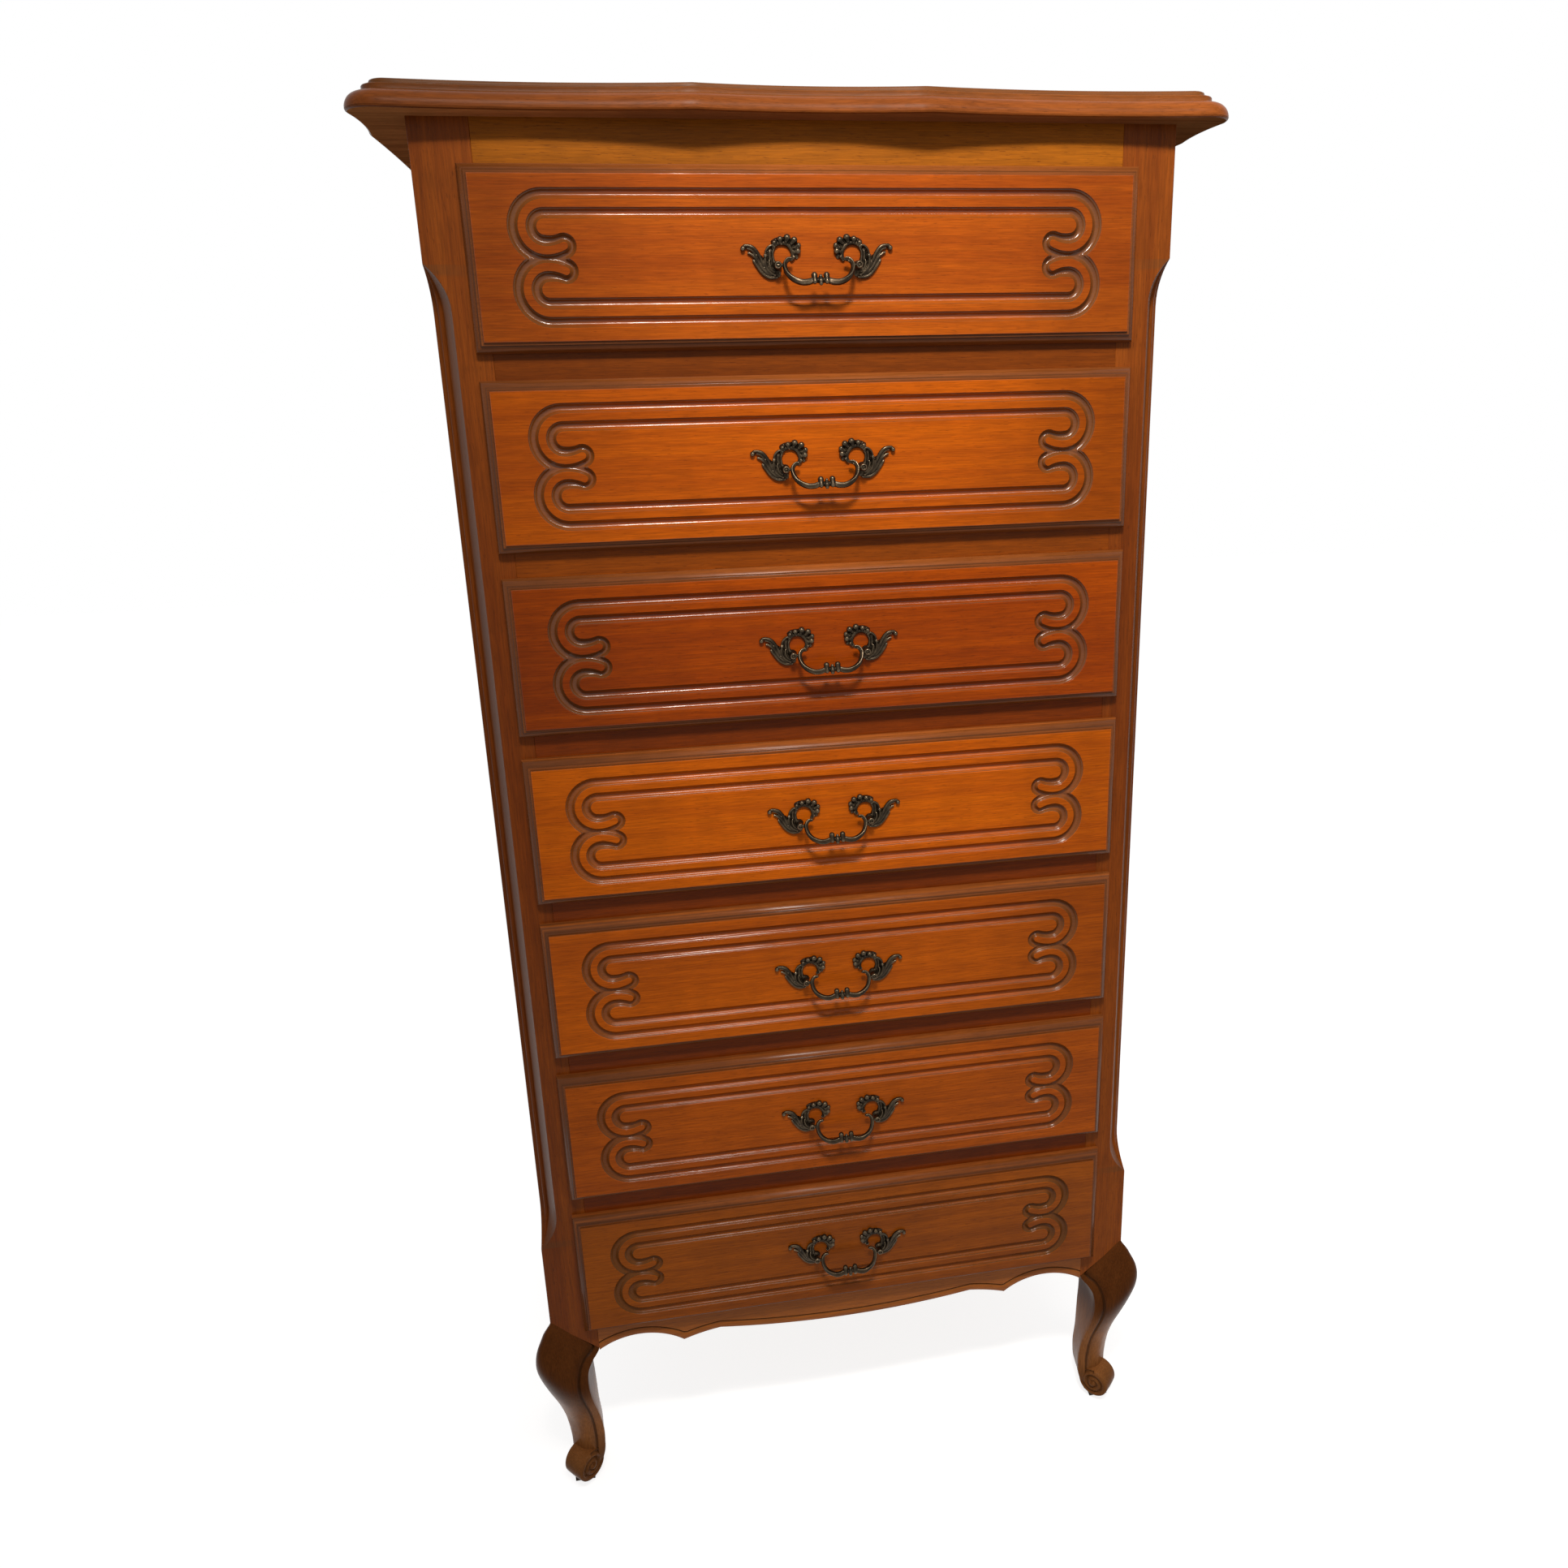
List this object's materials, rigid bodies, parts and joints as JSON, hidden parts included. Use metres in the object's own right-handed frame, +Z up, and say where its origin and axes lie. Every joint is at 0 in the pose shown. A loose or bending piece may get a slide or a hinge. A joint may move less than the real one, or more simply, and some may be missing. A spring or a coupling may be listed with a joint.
{
  "type": "semainier",
  "caption": "Tall narrow chest of stacked drawers in Louis XV style: serpentine moulded top, canted front posts, carved drawer fronts with bronze bail pulls, scalloped apron and cabriole legs.",
  "frame": {"origin": "on the floor, under the middle of the whole object's box", "axes": "+Z up, the front faces -Y, +X to the right seen from the front"},
  "size_m": [0.68, 0.391, 1.32],
  "materials": {
    "cherry_front": "satin cherry lacquer",
    "cherry_carcass": "satin cherry lacquer",
    "cherry_top": "satin cherry lacquer",
    "cherry_leg": "dark satin cherry lacquer",
    "drawer_wood": "planed, unfinished",
    "plywood": "sanded plywood",
    "bronze": "antique bronzed, rubbed on the high spots",
    "glide_felt": "dense felt"
  },
  "bodies": {
    "carcass": {"top": "cherry_top", "post_front_left": "cherry_carcass", "post_front_right": "cherry_carcass", "post_rear_left": "cherry_carcass", "post_rear_right": "cherry_carcass", "leg_front_left": "cherry_leg", "leg_front_right": "cherry_leg", "leg_rear_left": "cherry_leg", "leg_rear_right": "cherry_leg", "foot_glides": "glide_felt", "side_panel_left": "cherry_carcass", "side_panel_right": "cherry_carcass", "back_panel": "plywood", "front_rails": "cherry_carcass", "front_apron": "cherry_carcass", "side_rails": "cherry_carcass", "rear_rails": "drawer_wood", "drawer_runners": "drawer_wood"},
    "drawer_1": {"drawer_1_front": "cherry_front", "drawer_1_sides": "drawer_wood", "drawer_1_back": "drawer_wood", "drawer_1_bottom": "plywood", "drawer_1_pull": "bronze"},
    "bail_1": {"drawer_1_bail": "bronze"},
    "drawer_2": {"drawer_2_front": "cherry_front", "drawer_2_sides": "drawer_wood", "drawer_2_back": "drawer_wood", "drawer_2_bottom": "plywood", "drawer_2_pull": "bronze"},
    "bail_2": {"drawer_2_bail": "bronze"},
    "drawer_3": {"drawer_3_front": "cherry_front", "drawer_3_sides": "drawer_wood", "drawer_3_back": "drawer_wood", "drawer_3_bottom": "plywood", "drawer_3_pull": "bronze"},
    "bail_3": {"drawer_3_bail": "bronze"},
    "drawer_4": {"drawer_4_front": "cherry_front", "drawer_4_sides": "drawer_wood", "drawer_4_back": "drawer_wood", "drawer_4_bottom": "plywood", "drawer_4_pull": "bronze"},
    "bail_4": {"drawer_4_bail": "bronze"},
    "drawer_5": {"drawer_5_front": "cherry_front", "drawer_5_sides": "drawer_wood", "drawer_5_back": "drawer_wood", "drawer_5_bottom": "plywood", "drawer_5_pull": "bronze"},
    "bail_5": {"drawer_5_bail": "bronze"},
    "drawer_6": {"drawer_6_front": "cherry_front", "drawer_6_sides": "drawer_wood", "drawer_6_back": "drawer_wood", "drawer_6_bottom": "plywood", "drawer_6_pull": "bronze"},
    "bail_6": {"drawer_6_bail": "bronze"},
    "drawer_7": {"drawer_7_front": "cherry_front", "drawer_7_sides": "drawer_wood", "drawer_7_back": "drawer_wood", "drawer_7_bottom": "plywood", "drawer_7_pull": "bronze"},
    "bail_7": {"drawer_7_bail": "bronze"}
  },
  "joints": [
    {"name": "drawer_1_slide", "type": "slide", "parent": "carcass", "child": "drawer_1", "axis": [0, -1, 0], "range_m": [0, 0.26]},
    {"name": "bail_1_swing", "type": "hinge", "parent": "drawer_1", "child": "bail_1", "pos_m": [0, -0.1845, 1.19075], "axis": [-1, 0, 0], "range_deg": [0, 90]},
    {"name": "drawer_2_slide", "type": "slide", "parent": "carcass", "child": "drawer_2", "axis": [0, -1, 0], "range_m": [0, 0.26]},
    {"name": "bail_2_swing", "type": "hinge", "parent": "drawer_2", "child": "bail_2", "pos_m": [0, -0.1845, 1.03575], "axis": [-1, 0, 0], "range_deg": [0, 90]},
    {"name": "drawer_3_slide", "type": "slide", "parent": "carcass", "child": "drawer_3", "axis": [0, -1, 0], "range_m": [0, 0.26]},
    {"name": "bail_3_swing", "type": "hinge", "parent": "drawer_3", "child": "bail_3", "pos_m": [0, -0.1845, 0.88075], "axis": [-1, 0, 0], "range_deg": [0, 90]},
    {"name": "drawer_4_slide", "type": "slide", "parent": "carcass", "child": "drawer_4", "axis": [0, -1, 0], "range_m": [0, 0.26]},
    {"name": "bail_4_swing", "type": "hinge", "parent": "drawer_4", "child": "bail_4", "pos_m": [0, -0.1845, 0.72575], "axis": [-1, 0, 0], "range_deg": [0, 90]},
    {"name": "drawer_5_slide", "type": "slide", "parent": "carcass", "child": "drawer_5", "axis": [0, -1, 0], "range_m": [0, 0.26]},
    {"name": "bail_5_swing", "type": "hinge", "parent": "drawer_5", "child": "bail_5", "pos_m": [0, -0.1845, 0.57075], "axis": [-1, 0, 0], "range_deg": [0, 90]},
    {"name": "drawer_6_slide", "type": "slide", "parent": "carcass", "child": "drawer_6", "axis": [0, -1, 0], "range_m": [0, 0.26]},
    {"name": "bail_6_swing", "type": "hinge", "parent": "drawer_6", "child": "bail_6", "pos_m": [0, -0.1845, 0.41575], "axis": [-1, 0, 0], "range_deg": [0, 90]},
    {"name": "drawer_7_slide", "type": "slide", "parent": "carcass", "child": "drawer_7", "axis": [0, -1, 0], "range_m": [0, 0.26]},
    {"name": "bail_7_swing", "type": "hinge", "parent": "drawer_7", "child": "bail_7", "pos_m": [0, -0.1845, 0.26075], "axis": [-1, 0, 0], "range_deg": [0, 90]}
  ]
}
